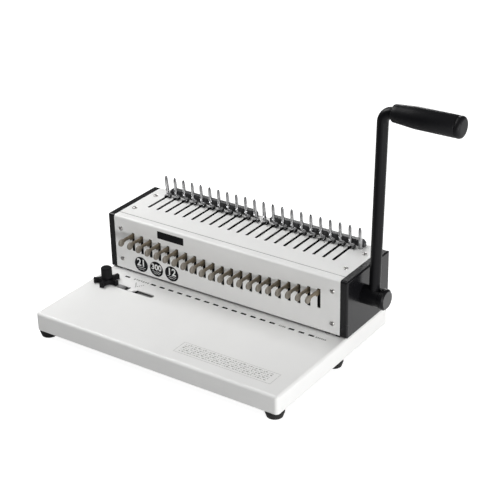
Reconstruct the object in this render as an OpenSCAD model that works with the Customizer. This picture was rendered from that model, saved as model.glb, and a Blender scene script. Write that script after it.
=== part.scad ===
// Ring binding machine: a punch for a row of rectangular holes with a comb opener on top.
// X runs along the row of punches, Y from the front to the back, Z up from the desk.

/* [Comb pattern] */
// Distance from one comb ring to the next
hole_pitch = 14.2875; // [13.8:0.0125:14.8]
// Length of a punched hole along the row
hole_w = 8; // [6:0.1:8.6]
// Width of a punched hole across the row
hole_d = 3; // [2.4:0.1:3.6]
// From the front face of the housing to the line of punches
punch_back = 13; // [12:0.1:14]
// From the line of punches to the edge of the sheets
hole_margin = 4.5; // [3:0.1:6]

/* [Base] */
// Table of the base in front of the housing
base_front = 152.5; // [120:0.5:200]
// Height of the wall of the base
base_h = 24; // [23:0.5:30]
// Sheet thickness of the base
base_sheet = 1.4; // [1:0.1:2.2]
// Radius of the upright corners of the base
base_corner_r = 5; // [4:0.5:14]
// Radius of the rolled edge of the base
base_bend_r = 3.5; // [2.6:0.1:6]
// Width of the flange turned in under the base
flange_w = 16; // [14:0.5:17]
// How far the base stays inside the side covers
base_side_inset = 0.6; // [0:0.1:4]
// How far the base reaches behind the housing
base_rear = 1.7; // [1:0.1:6]
// Height of a rubber foot
foot_h = 9; // [7:0.5:14]
// Radius of a rubber foot at its top
foot_r = 12; // [10:0.5:13]
// From the outside of the base to the middle of a foot
foot_inset = 11; // [9:0.5:12]
// From the front face of the housing forward to the middle pair of feet
middle_foot_front = 11; // [-10:0.5:40]
// From the side of the base to the rear pair of feet
rear_foot_in = 40; // [30:0.5:60]

/* [Housing] */
// Height of the slit for the sheets
throat = 2.8; // [2:0.1:3.6]
// Height of the front panel
panel_h = 75.4; // [75:0.1:90]
// Depth of the housing
body_d = 100.3; // [100:0.1:115]
// Sheet thickness of the panels
sheet = 1; // [0.8:0.1:2.2]
// Outer radius of the bend of the front panel
panel_bend_r = 3; // [2.4:0.1:7]
// Depth of the front panel's flange on the top
top_band = 11; // [9:0.1:14]
// Thickness of a side plate of the frame
side_t = 6; // [4:0.1:8]
// Thickness of a side cover
cover_t = 10.3; // [7:0.1:14]
// Wall of a side cover
cover_wall = 2.5; // [2:0.1:3]
// Radius of the rounded edges of a side cover
cover_edge_r = 2; // [1:0.1:2]
// How far a side cover stays behind the front face
cover_setback = 0.2; // [0:0.1:2]
// How far a side cover reaches behind the housing
cover_rear = 1.2; // [0:0.1:1.6]
// From the side of a panel to its screws
screw_side = 10.6; // [9:0.1:12]
// Height of the lower front screws above the panel's lower edge
screw_low = 13.8; // [10:0.1:20]
// Height of the upper front screws above the panel's lower edge
screw_high = 58.2; // [50:0.1:64]
// From the front face to the first pair of screws on the top
screw_top_front = 30.5; // [25:0.5:40]
// From the back of the housing to the second pair of screws on the top
screw_top_rear = 24.6; // [20:0.1:40]
// Radius of a screw head
screw_head_r = 3.2; // [2.5:0.1:4]

/* [Pull tabs] */
// Thickness of a pull tab
tab_t = 1.8; // [1.4:0.1:2.4]
// Height of a pull tab in its slot
tab_h = 7.6; // [7:0.1:8.4]
// Reach of a pull tab in front of the panel
tab_reach = 28.5; // [22:0.5:32]
// From the panel's lower edge to the top of the middle tab
tab_up = 45.5; // [44.8:0.1:46.2]
// How much higher each tab stands than its neighbour towards the middle
tab_step = 0.94; // [0:0.02:1]
// Sideways distance from a pull tab to the middle of its punch
tab_aside = 0.6; // [0:0.1:1]
// Travel of a pull tab
tab_travel = 8; // [5:0.5:9]

/* [Lever] */
// From the back of the housing to the lever shaft
shaft_in = 59.3; // [57.3:0.1:60.3]
// Height of the lever shaft above the panel's lower edge
shaft_up = 42.2; // [41.5:0.1:44]
// Radius of the lever shaft
shaft_r = 8; // [7:0.1:8.5]
// Length of the lever from its shaft to the grip
arm_len = 237; // [180:1:280]
// Radius of the lever bar
arm_r = 7; // [5:0.1:7.8]
// Radius of the bend of the lever bar, at its middle
arm_bend_r = 13.5; // [12:0.5:20]
// From the hub's inner end to the lever bar
arm_out = 13.2; // [13:0.1:16]
// Backward lean of the lever at rest
arm_lean = 2.45; // [0:0.05:6]
// Radius of the hub
hub_r = 12; // [11:0.1:14]
// Radius of the rim at the hub's outer end
hub_rim_r = 13.3; // [12.5:0.1:16]
// Length of the hub
hub_len = 31.6; // [30:0.1:40]
// Length of the hand grip
grip_len = 88; // [70:1:110]
// Radius of the grip at its inner end
grip_inner_r = 10.8; // [9.5:0.1:12]
// Radius of the grip at its outer end
grip_outer_r = 13.1; // [11:0.1:16]
// Length over which the grip widens
grip_flare = 30; // [15:1:50]

/* [Punch drive] */
// Turn of the lever for a full punch stroke
pull_angle = 80; // [70:1:85]
// Stroke of the punch bar
stroke = 14.6; // [13.4:0.1:14.6]
// Distance from the shaft's middle to the cam face at rest
cam_r = 12.5; // [11.5:0.1:13]
// Thickness of a cam
cam_t = 5; // [4:0.1:6]
// How much higher each punch ends than its neighbour towards the middle
pin_step = 0.35; // [0:0.01:0.36]
// Thickness of the punch bar's shelf
shelf_t = 8; // [7:0.1:8.4]
// Thickness of the guide plate
guide_t = 5; // [3:0.1:5.2]
// Thickness of the lower die
die_t = 8; // [6:0.1:8.4]
// Radius of a guide post
post_r = 3.5; // [2.5:0.1:3.6]
// Radius of a return spring
spring_r = 2.4; // [2:0.1:2.6]

/* [Comb opener] */
// Turn of the lever, pushed back, for a full opening
push_angle = 48; // [40:1:50]
// Pitch radius of the toothed sectors
sector_r = 34; // [33:0.1:34.4]
// Thickness of the sectors and racks
rack_t = 3; // [2:0.1:3.4]
// Length of a top slot
slot_len = 43.5; // [39:0.1:47]
// Width of a top slot
slot_w = 4; // [3:0.1:4.4]
// Sideways distance from a finger to its slot
slot_aside = 1.73; // [1:0.01:2.4]
// From the back of the housing to the foot of the fingers
finger_in = 13.1; // [12.7:0.1:13.5]
// Height of the fingers above the top plate
finger_h = 29.6; // [20:0.1:40]
// Width of a finger at its foot
finger_w = 4.8; // [4:0.1:5]
// Width of a finger at its tip
finger_tip_w = 3.5; // [2.5:0.1:3.9]
// Thickness of a finger
finger_t = 3; // [2:0.1:3.2]
// Forward lean of the fingers
finger_lean = 4.5; // [0:0.1:5]
// Width of a hook's arch
hook_w = 8.4; // [7:0.1:9]
// Thickness of a hook
hook_t = 2.2; // [1.6:0.1:2.6]
// Height of a hook above the top plate
hook_h = 6; // [5:0.1:8]
// Height of the rails behind the fingers
rail_h = 8.7; // [6:0.1:14]
// Thickness of the rails
rail_t = 6.4; // [4:0.1:6.8]
// Length of one rail
rail_len = 140; // [110:1:155]
// Gap between the two rails
rail_gap = 22; // [16:0.5:30]
// How far the rails are set towards the lever's side
rail_shift = 1.8; // [0:0.1:2.4]

/* [Edge guide] */
// From the front face forward to the middle of the guide slot
guide_front = 40; // [32:0.5:80]
// From the side of the base to the guide slot
guide_in = 14.7; // [12:0.1:20]
// Length of the guide slot
guide_slot_len = 86.5; // [80:0.5:120]
// Width of the guide slot
guide_slot_w = 8.5; // [7:0.1:10]
// Travel of the edge guide
guide_travel = 25; // [10:1:28]
// Radius of the star-shaped stop
star_r = 17.5; // [16:0.5:20]
// Height of the star-shaped stop
star_h = 6.5; // [4:0.1:9]
// Radius of the guide's knob
knob_r = 7.2; // [6:0.1:9]
// Height of the guide's knob
knob_h = 15; // [14:0.1:26]

/* [Waste drawer] */
// Height of the waste drawer
drawer_h = 10.2; // [8:0.1:10.4]
// Wall of the waste drawer
drawer_wall = 1.6; // [1.2:0.1:2]
// Thickness of the drawer's runners
runner_t = 2; // [1.4:0.1:2.2]

/* [Hidden] */
$fn = 48;

// Colours
white_paint = "whitesmoke";
black_plastic = "#202022";
bare_steel = "silver";
dark_steel = "dimgray";

// Fits: gap between moving pieces, running fit of a shaft, seat of a fixed pin, cut-through
gap = 0.3;
run_fit = 0.06;
seat_fit = 0.02;
over = 1;

// Comb row: 21 rings, each between two of 22 fingers
hole_count = 21;
middle = (hole_count - 1) / 2;
finger_count = hole_count + 1;
row_half = (hole_count - 1) * hole_pitch / 2;
function hole_x(i) = i * hole_pitch - row_half;
function finger_x(i) = hole_x(i) - hole_pitch / 2;
function slot_x(i) = finger_x(i) + slot_aside;
function tab_x(i) = hole_x(i) - tab_aside;
function tab_rise(i) = tab_step * abs(i - middle);
function pin_rise(i) = pin_step * abs(i - middle);

// Stack of pieces from the row out to the side
bar_end = 1.6;
bar_half = row_half + hole_w / 2 + bar_end;
cam_side = 1;
cam_x = bar_half + cam_side;
spring_x = cam_x + cam_t + 2 * gap + spring_r;
rack_x = spring_x + spring_r + 2 * gap;
bush_flange = 3;
rack_side = 0.5;
bush_x = rack_x + rack_t + rack_side;
side_x = bush_x + bush_flange;
panel_half = side_x + side_t;
cover_x = panel_half + cover_t;
base_half = cover_x - base_side_inset;

// Levels
base_top = foot_h + base_h;
base_under = base_top - base_sheet;
panel_bottom = base_top + throat;
panel_top = panel_bottom + panel_h;
frame_top = panel_top - sheet;
shaft_z = panel_bottom + shaft_up;
guide_top = panel_bottom + guide_t;
die_bottom = base_top - die_t;

// Depths
base_y0 = -base_front;
base_y1 = body_d + base_rear;
frame_y1 = body_d - sheet;
shaft_back = body_d - shaft_in;
finger_back = body_d - finger_in;
cover_y0 = cover_setback;
cover_y1 = body_d + cover_rear;
cover_z0 = base_top + gap;
cover_corner_r = 3;

// Frame plate flanges
ear_t = 2.5;
ear_w = 12;
ear_x = side_x - ear_w;
ear_clear = 1;
ear_low = guide_top + ear_clear;
shelf_ear_t = 3;
ledge_h = 3.5;

// Punch bar
shelf_top = shaft_z - cam_r - gap;
shelf_bottom = shelf_top - shelf_t;
bar_clear = 3;
bar_front = sheet + bar_clear;
post_at = 1.6;
post_x = row_half - post_at * hole_pitch;
post_y = (punch_back + hole_d / 2 + shaft_back - shaft_r) / 2;
post_clear = 1.25;
bar_rear = post_y - post_r - post_clear;
bar_over = 3;
shelf_over = 5;
shelf_rear = shaft_back + shelf_over;
tab_top = panel_bottom + tab_up;
tab_bottom = tab_top - tab_h;
bar_top = tab_top + tab_rise(0) + bar_over;
tab_short = 0.5;
tab_tail = bar_rear - tab_short;
pin_seat = 5;
pin_rest = 0.6;
pin_top = shelf_bottom + pin_seat;
pin_tip = panel_bottom + pin_rest;
pin_notch = 1;
post_over = 10;
post_top = shelf_top + post_over;
spring_y = bar_rear;
lug_wall = 0.5;
spring_lug = spring_r + lug_wall;
pad_len = 20;
pad_front = shaft_back - pad_len;

// Cam: the face turns on a base circle so that lift grows evenly with the turn
cam_rate = stroke / (pull_angle * PI / 180);
cam_ring = 3;
cam_hub = shaft_r + cam_ring;
cam_over = 6;
cam_facet = 2;
function cam_point(turn) =
    let (lift = cam_r + cam_rate * turn * PI / 180, a = -90 - turn)
    [lift * cos(a) + cam_rate * sin(a), lift * sin(a) - cam_rate * cos(a)];

// Toothed sector and rack
sector_teeth = 34;
tooth_m = 2 * sector_r / sector_teeth;
tooth_pitch = PI * tooth_m;
tooth_angle = 360 / sector_teeth;
pressure = 20;
backlash = 0.4;
tooth_base_r = sector_r * cos(pressure);
tooth_root = 1.25 * tooth_m;
tooth_tip_r = sector_r + tooth_m;
tooth_root_r = sector_r - tooth_root;
hook_travel = sector_r * push_angle * PI / 180;
rack_pitch_z = shaft_z - sector_r;
rack_root_z = rack_pitch_z - tooth_root;
sector_ring = 4;
sector_hub = shaft_r + sector_ring;
lug_h = 7;
lug_r = shaft_r + lug_h;
lug_clear = 2;
drive_pin_r = 2;
function involute(a) = tan(a) - a * PI / 180;
function half_tooth(r) = let (a = acos(min(1, tooth_base_r / r)))
    ((tooth_pitch / 2 - backlash) / (2 * sector_r) + involute(pressure) - involute(a)) * 180 / PI;
flank_radii = [for (s = [0:1:4]) max(tooth_base_r, tooth_root_r) + s * (tooth_tip_r - tooth_base_r) / 4];
function polar(r, a) = [r * cos(a), r * sin(a)];
function tooth(a) = concat(
    [polar(tooth_root_r, a - half_tooth(tooth_base_r))],
    [for (r = flank_radii) polar(r, a - half_tooth(r))],
    [for (i = [4:-1:0]) polar(flank_radii[i], a + half_tooth(flank_radii[i]))],
    [polar(tooth_root_r, a + half_tooth(tooth_base_r))]);

// Hook carriage
carriage_t = 2.5;
finger_strip_t = 3;
carriage_top = frame_top - finger_strip_t - gap;
carriage_bottom = carriage_top - carriage_t;
hook_clear = 1.1;
hook_d = 6;
hook_y1 = finger_back - finger_t / 2 - hook_clear;
hook_y0 = hook_y1 - hook_d;
carriage_front = 10;
carriage_y0 = hook_y0 - carriage_front;
leg_clear = 2;
leg_w = 8;
leg_y0 = shaft_back + sector_hub + hook_travel + leg_clear;
leg_y1 = leg_y0 + leg_w;
rack_end = 1.3;
rack_y0 = shaft_back - tooth_pitch / 2 - tooth_m * rack_end;
limb_h = 5.3;
rack_bottom = rack_root_z - limb_h;
hook_strip_t = 2;
slot_clear = 0.6;
slot_rear = finger_back - finger_t / 2 - slot_clear;
slot_front = slot_rear - slot_len;

// Lever
hub_x = cover_x + gap;
arm_x = hub_x + arm_out;
hub_seat = 5;
hub_floor = 3;
arm_seat = hub_r - hub_floor;
grip_x = arm_x + arm_bend_r;
grip_end = grip_x + grip_len;
grip_bore_end = 13;

// Edge guide
guide_x0 = -base_half + guide_in;
guide_x1 = guide_x0 + guide_slot_len;
slider_front = 1.5;
slider_rear = 5;
slider_x0 = guide_x0 + slider_front;
slider_x1 = guide_x1 - guide_travel - slider_rear;
slider_w = guide_slot_w - 2 * gap;
slider_keel = 2.5;
keel_side = 3.5;
keel_half = guide_slot_w / 2 + keel_side;
channel_clear = 0.8;
channel_wall = 1.2;
channel_end = 3;
slider_top = base_top + gap;
pointer_len = 12;
slider_gap = 3.5;
star_in = 10;
star_x = guide_x0 + star_in;
stud_r = 3;
knob_top = 3;
star_lobes = 5;
star_turn = -3;

// Dies, set into an opening of the base
die_over = 9.5;
die_half = bar_half + die_over;
die_clear = 1;
die_y0 = sheet + die_clear;
die_d = 39;
die_y1 = die_y0 + die_d;
die_lip = 4;
die_step = 3;
die_hole_x = die_half - die_lip;
die_hole_y0 = bar_front + die_clear;
die_hole_y1 = die_y1 - die_step;
die_fit = 0.1;

// Waste drawer
drawer_side = 2;
drawer_half = die_half + drawer_side;
drawer_z0 = foot_h + base_sheet + gap;
drawer_z1 = drawer_z0 + drawer_h;
drawer_y0 = die_y0;
runner_ledge = 7;
runner_up = 0.5;
runner_floor = base_sheet - runner_up;

// The middle of the part's box, at the desk, is the origin
foot_out = max(0, foot_r - foot_inset);
x_low = -max(cover_x, base_half + foot_out);
x_high = grip_end;
y_low = base_y0 - foot_out;
y_high = base_y1;
origin = [(x_low + x_high) / 2, (y_low + y_high) / 2, 0];

// Shared shapes

module box(low, high) {
    translate(low) cube(high - low);
}

// Extrudes a Y-Z outline along X
module along_x(x0, x1) {
    translate([x0, 0, 0]) rotate([90, 0, 90]) linear_extrude(x1 - x0) children();
}

// Extrudes an X-Z outline along Y
module along_y(y0, y1) {
    translate([0, y1, 0]) rotate([90, 0, 0]) linear_extrude(y1 - y0) children();
}

// Rectangle with round corners between two corner points
module round_rect(low, high, r) {
    translate([low.x + r, low.y]) square([high.x - low.x - 2 * r, high.y - low.y]);
    translate([low.x, low.y + r]) square([high.x - low.x, high.y - low.y - 2 * r]);
    for (x = [low.x + r, high.x - r], y = [low.y + r, high.y - r]) translate([x, y]) circle(r);
}

// Rectangle with round upper corners only
module arch_rect(low, high, r) {
    round_rect(low, high, r);
    translate(low) square([high.x - low.x, (high.y - low.y) / 2]);
}

// Closed form of the base tray, drawn in by an inset all round and at the top
module tray_form(inset, low) {
    x = base_half - inset;
    y0 = base_y0 + inset;
    y1 = base_y1 - inset;
    top = base_top - inset;
    bend = base_bend_r - inset;
    corner = base_corner_r - inset;
    intersection() {
        translate([0, 0, low]) linear_extrude(top - low) round_rect([-x, y0], [x, y1], corner);
        along_y(y0, y1) arch_rect([-x, low - over], [x, top], bend);
        along_x(-x, x) arch_rect([y0, low - over], [y1, top], bend);
    }
}

// Puts children at both sides, the right one as drawn and the left one mirrored
module both_sides() {
    children();
    mirror([1, 0, 0]) children();
}

// The lever's own frame: origin on the shaft, leaning back at rest
module lever_frame() {
    translate([0, shaft_back, shaft_z]) rotate([-arm_lean, 0, 0]) children();
}

// A cylinder along X, centred on the shaft
module shaft_disc(r, x0, x1) {
    translate([x0, shaft_back, shaft_z]) rotate([0, 90, 0]) cylinder(r = r, h = x1 - x0);
}

// Rectangular cuts at every hole of the row
module hole_cuts(clear, z0, z1) {
    for (i = [0:hole_count - 1])
        box([hole_x(i) - hole_w / 2 - clear, punch_back - hole_d / 2 - clear, z0],
            [hole_x(i) + hole_w / 2 + clear, punch_back + hole_d / 2 + clear, z1]);
}

// Middles of the feet
foot_spots = [for (s = [-1, 1]) each [
    [s * (base_half - foot_inset), base_y0 + foot_inset],
    [s * (base_half - foot_inset), -middle_foot_front],
    [s * (base_half - rear_foot_in), base_y1 - foot_r]]];

// Base

module base_plate() {
    color(white_paint) difference() {
        tray_form(0, foot_h);
        tray_form(base_sheet, foot_h + base_sheet);
        translate([0, 0, foot_h - over]) linear_extrude(base_sheet + 2 * over)
            round_rect([-base_half + flange_w, base_y0 + flange_w], [base_half - flange_w, base_y1 - flange_w],
                flange_corner_r);
        box([-die_hole_x, die_hole_y0, base_under - over], [die_hole_x, die_hole_y1, base_top + over]);
        translate([0, -guide_front, base_under - over]) linear_extrude(base_sheet + 2 * over)
            round_rect([guide_x0, -guide_slot_w / 2], [guide_x1, guide_slot_w / 2], guide_end_r);
        box([-drawer_half - gap, base_y1 - flange_w, drawer_z0 - gap],
            [drawer_half + gap, base_y1 + over, drawer_z1 + 2 * gap]);
        for (p = foot_spots) translate([p.x, p.y, foot_h - over])
            cylinder(r = foot_screw_r, h = base_sheet + 2 * over);
    }
}

flange_corner_r = 3;
guide_end_r = 0.48 * guide_slot_w;
foot_screw_r = 2.2;
foot_screw_fit = 0.2;
foot_recess_r = 5;
foot_recess = 4;
foot_rim = 3;
foot_taper = 2;
screw_head_t = 2.4;

module feet() {
    color("#18181a") for (p = foot_spots) translate([p.x, p.y, 0]) difference() {
        union() {
            cylinder(r1 = foot_r - foot_taper, r2 = foot_r, h = foot_h - foot_rim);
            translate([0, 0, foot_h - foot_rim]) cylinder(r = foot_r, h = foot_rim);
        }
        translate([0, 0, -over]) cylinder(r = foot_recess_r, h = foot_recess + over);
        cylinder(r = foot_screw_r, h = foot_h + over);
    }
}

module foot_screws() {
    color(bare_steel) for (p = foot_spots) translate([p.x, p.y, 0]) {
        translate([0, 0, foot_recess - screw_head_t]) cylinder(r = foot_recess_r - 1, h = screw_head_t);
        translate([0, 0, foot_recess])
            cylinder(r = foot_screw_r - foot_screw_fit, h = foot_h + base_sheet - foot_recess);
    }
}

// Frame

// Screw places as [x, y or z] pairs
screw_x = panel_half - screw_side;
front_screws = [for (x = [-screw_x, screw_x], z = [screw_low, screw_high]) [x, panel_bottom + z]];
top_screws = [for (x = [-screw_x, screw_x], y = [screw_top_front, body_d - screw_top_rear]) [x, y]];
screw_r = 1.5;
screw_fit = 0.1;
screw_hole_r = screw_r + screw_fit;
head_t = 1.8;
head_taper = 1;
bush_wall = 3;
bush_rim = 5;

module screw_shanks(r) {
    for (p = front_screws) {
        translate([p.x, sheet + ear_t, p.y]) rotate([90, 0, 0]) cylinder(r = r, h = sheet + ear_t);
        translate([p.x, body_d, p.y]) rotate([90, 0, 0]) cylinder(r = r, h = sheet + ear_t);
    }
    for (p = top_screws) translate([p.x, p.y, frame_top - shelf_ear_t]) cylinder(r = r, h = shelf_ear_t + sheet);
}

module side_plate() {
    bevel = panel_bend_r - sheet;
    ledge_y0 = carriage_y0 - hook_travel - ledge_h;
    color(dark_steel) difference() {
        union() {
            box([side_x, sheet, base_top], [panel_half, frame_y1, frame_top]);
            box([ear_x, sheet, ear_low], [side_x, sheet + ear_t, frame_top]);
            box([ear_x, frame_y1 - ear_t, ear_low], [side_x, frame_y1, frame_top]);
            box([ear_x, sheet, frame_top - shelf_ear_t], [side_x, frame_y1, frame_top]);
            box([bush_x, ledge_y0, carriage_bottom - gap - ledge_h], [side_x, frame_y1, carriage_bottom - gap]);
        }
        along_x(ear_x - over, panel_half + over) polygon([[sheet - over, frame_top - bevel - over],
            [sheet + bevel + over, frame_top + over], [sheet - over, frame_top + over]]);
        shaft_disc(shaft_r + bush_wall + seat_fit, side_x - over, panel_half + over);
        screw_shanks(screw_hole_r);
    }
}

module left_side_plate() mirror([1, 0, 0]) side_plate();
module right_side_plate() side_plate();

cover_boss = 4;
cover_hole = 1;

// A side cover is a moulded shell, open towards the frame, with ribs inside
module side_cover(shaft_hole) {
    depth = cover_y1 - cover_y0;
    color(black_plastic) difference() {
        intersection() {
            along_x(panel_half, cover_x) round_rect([cover_y0, cover_z0], [cover_y1, panel_top], cover_corner_r);
            along_y(cover_y0, cover_y1) translate([panel_half - cover_t, 0])
                round_rect([0, cover_z0], [2 * cover_t, panel_top], cover_edge_r);
            translate([0, 0, cover_z0]) linear_extrude(panel_top - cover_z0)
                round_rect([panel_half - cover_t, cover_y0], [cover_x, cover_y1], cover_edge_r);
        }
        difference() {
            box([panel_half - over, cover_y0 + cover_wall, cover_z0 + cover_wall],
                [cover_x - cover_wall, cover_y1 - cover_wall, panel_top - cover_wall]);
            for (y = [cover_y0 + depth / 3, cover_y0 + 2 * depth / 3])
                box([panel_half - over, y - cover_wall / 2, cover_z0], [cover_x, y + cover_wall / 2, panel_top]);
            shaft_disc(shaft_r + cover_boss, panel_half - over, cover_x);
        }
        if (shaft_hole) shaft_disc(shaft_r + cover_hole, panel_half - over, cover_x + over);
    }
}

module left_side_cover() mirror([1, 0, 0]) side_cover(false);
module right_side_cover() side_cover(true);

// The front panel's slots let the tabs go down with the punch bar
front_slot_left = 0.4;
front_slot_right = 2.3;
front_slot_low = 2.9;
front_slot_high = 1.3;
front_slot_z0 = tab_bottom - stroke - front_slot_low;
front_slot_z1 = tab_top + front_slot_high;

module front_panel() {
    color(white_paint) difference() {
        along_x(-panel_half, panel_half) {
            translate([0, panel_bottom]) square([sheet, panel_h - panel_bend_r]);
            translate([panel_bend_r, frame_top]) square([top_band - panel_bend_r, sheet]);
            translate([panel_bend_r, panel_top - panel_bend_r]) intersection() {
                difference() {
                    circle(panel_bend_r);
                    circle(panel_bend_r - sheet);
                }
                translate([-2 * panel_bend_r, 0]) square(2 * panel_bend_r);
            }
        }
        for (i = [0:hole_count - 1])
            box([tab_x(i) - tab_t / 2 - front_slot_left, -over, front_slot_z0 + tab_rise(i)],
                [tab_x(i) + tab_t / 2 + front_slot_right, sheet + over, front_slot_z1 + tab_rise(i)]);
        screw_shanks(screw_hole_r);
    }
}

dot_r = 0.7;
dot_at = 0.76;
dot_front = 2;
finger_hole = 0.3;

module top_plate() {
    hole_half = finger_w / 2 + finger_hole;
    hole_len = finger_t + 2 * slot_clear + finger_hole;
    color(white_paint) difference() {
        translate([0, 0, frame_top]) linear_extrude(sheet) difference() {
            translate([-panel_half, top_band + gap]) square([2 * panel_half, body_d - top_band - gap]);
            for (i = [0:hole_count - 1]) {
                translate([slot_x(i) - slot_w / 2, slot_front + slot_w / 2])
                    square([slot_w, slot_rear - slot_front - slot_w / 2]);
                translate([slot_x(i), slot_front + slot_w / 2]) circle(slot_w / 2);
                translate([finger_x(i) + dot_at * hole_pitch, hook_y0 - dot_front]) circle(dot_r);
            }
            for (i = [0:finger_count - 1])
                translate([finger_x(i) - hole_half, slot_rear - finger_hole])
                    square([2 * hole_half, hole_len]);
        }
        screw_shanks(screw_hole_r);
    }
}

module back_panel() {
    color(white_paint) difference() {
        box([-panel_half, frame_y1, base_top], [panel_half, body_d, frame_top]);
        screw_shanks(screw_hole_r);
    }
}

module panel_screws() {
    tip_r = screw_head_r - head_taper;
    color(bare_steel) {
        screw_shanks(screw_r);
        for (p = front_screws) {
            translate([p.x, 0, p.y]) rotate([90, 0, 0]) cylinder(r1 = screw_head_r, r2 = tip_r, h = head_t);
            translate([p.x, body_d, p.y]) rotate([-90, 0, 0])
                cylinder(r1 = screw_head_r, r2 = tip_r, h = base_rear - gap);
        }
        for (p = top_screws) translate([p.x, p.y, panel_top])
            cylinder(r1 = screw_head_r, r2 = tip_r, h = head_t);
    }
}

// Bush with a flange on the inner side of each side plate
module shaft_bushes() {
    color("#b08d57") both_sides() difference() {
        union() {
            shaft_disc(shaft_r + bush_rim, bush_x, side_x);
            shaft_disc(shaft_r + bush_wall, side_x, panel_half);
        }
        shaft_disc(shaft_r + run_fit, bush_x - over, panel_half + over);
    }
}

tie_r = 3.5;
tie_clear = 3.5;
tie_y = (sheet + ear_t + spring_y - spring_r) / 2;
tie_z = bar_top + tie_clear + tie_r;

module tie_bar() {
    color(bare_steel) translate([-side_x, tie_y, tie_z]) rotate([0, 90, 0]) cylinder(r = tie_r, h = 2 * side_x);
}

// Dies

module die_plate() {
    color(bare_steel) difference() {
        union() {
            box([-die_half, die_y0, die_bottom], [die_half, die_y1, base_under]);
            box([-die_hole_x + gap, die_hole_y0 + gap, base_under],
                [die_hole_x - gap, die_hole_y1 - gap, base_top]);
        }
        hole_cuts(die_fit, die_bottom - over, base_top + over);
    }
}

// Strip that sets the height of the slit and stops the sheets at the back
module throat_spacer() {
    sheet_half = row_half + hole_w;
    sheet_stop = punch_back + hole_margin;
    color(bare_steel) translate([0, 0, base_top]) linear_extrude(throat) {
        translate([-die_half, sheet_stop]) square([2 * die_half, die_hole_y1 - sheet_stop]);
        for (x = [-die_half, sheet_half])
            translate([x, die_y0]) square([die_half - sheet_half, sheet_stop - die_y0 + over]);
    }
}

module guide_plate() {
    color(bare_steel) difference() {
        box([-die_half, die_y0, panel_bottom], [die_half, die_hole_y1, guide_top]);
        hole_cuts(die_fit, panel_bottom - over, guide_top + over);
    }
}

module guide_posts() {
    color(bare_steel) both_sides() translate([post_x, post_y, guide_top])
        cylinder(r = post_r, h = post_top - guide_top);
}

// Punch bar

module punch_bar() {
    color(dark_steel) difference() {
        union() {
            box([-bar_half, bar_front, shelf_bottom], [bar_half, shelf_rear, shelf_top]);
            box([-bar_half, bar_front, shelf_bottom], [bar_half, bar_rear, bar_top]);
            both_sides() {
                box([bar_half, pad_front, shelf_bottom], [cam_x + cam_t + gap, shelf_rear, shelf_top]);
                box([bar_half, spring_y - spring_lug, shelf_bottom],
                    [spring_x + spring_r, spring_y + spring_lug, shelf_top]);
            }
        }
        for (i = [0:hole_count - 1])
            box([tab_x(i) - tab_t / 2 - gap, bar_front - over, tab_bottom + tab_rise(i) - gap],
                [tab_x(i) + tab_t / 2 + gap, bar_rear + over, tab_top + tab_rise(i) + gap]);
        hole_cuts(seat_fit, shelf_bottom - over, pin_top);
        both_sides() translate([post_x, post_y, shelf_bottom - over])
            cylinder(r = post_r + run_fit, h = shelf_t + 2 * over);
    }
}

// Each punch has a notched tip, so that it shears from both ends of the hole, and is a little
// shorter than its neighbour, so that the row is cut one hole after another
module punch_pins() {
    color(bare_steel) for (i = [0:hole_count - 1]) translate([hole_x(i), 0, 0])
        along_y(punch_back - hole_d / 2, punch_back + hole_d / 2)
            polygon([[-hole_w / 2, pin_tip + pin_rise(i)], [0, pin_tip + pin_rise(i) + pin_notch],
                [hole_w / 2, pin_tip + pin_rise(i)], [hole_w / 2, pin_top], [-hole_w / 2, pin_top]]);
}

// A pull tab is a flat bar with a rounded tip and a hollow below for the finger
module pull_tab(i) {
    tip_r = tab_h * 0.4;
    tip_y = tip_r - tab_reach;
    tip_low = tab_h - 2 * tip_r;
    hollow_y = -tab_reach * 0.4;
    hollow_w = tab_reach * 0.3;
    hollow_h = tab_h * 0.59;
    hollow_r = (hollow_w * hollow_w + hollow_h * hollow_h) / (2 * hollow_h);
    root_y = hollow_y + hollow_w * 0.8;
    color("#6f6a64") translate([0, 0, tab_bottom + tab_rise(i)])
        along_x(tab_x(i) - tab_t / 2, tab_x(i) + tab_t / 2) difference() {
            union() {
                translate([root_y, 0]) square([tab_tail - root_y, tab_h]);
                translate([tip_y, tip_low]) square([tab_tail - tip_y, tab_h - tip_low]);
                translate([tip_y, tab_h - tip_r]) circle(tip_r);
            }
            translate([hollow_y, hollow_h - hollow_r]) circle(hollow_r);
        }
}

// Extension springs between the punch bar and the side plates
spring_wire = 0.5;
spring_turns = 11;
spring_z0 = shelf_top;
spring_z1 = frame_top - shelf_ear_t;
spring_coil_r = spring_r - spring_wire;
spring_end = 2 * spring_wire;
spring_pitch = (spring_z1 - spring_z0 - 2 * spring_end) / spring_turns;
spring_rings = 8 * spring_turns;
spring_sides = 6;
function spring_point(k) = let (t = k / spring_rings)
    [spring_coil_r * cos(360 * spring_turns * t), spring_coil_r * sin(360 * spring_turns * t),
        spring_z0 + spring_end + t * (spring_z1 - spring_z0 - 2 * spring_end)];
spring_route = concat([[spring_coil_r, 0, spring_z0]], [for (k = [0:spring_rings]) spring_point(k)],
    [[spring_coil_r, 0, spring_z1]]);

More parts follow.
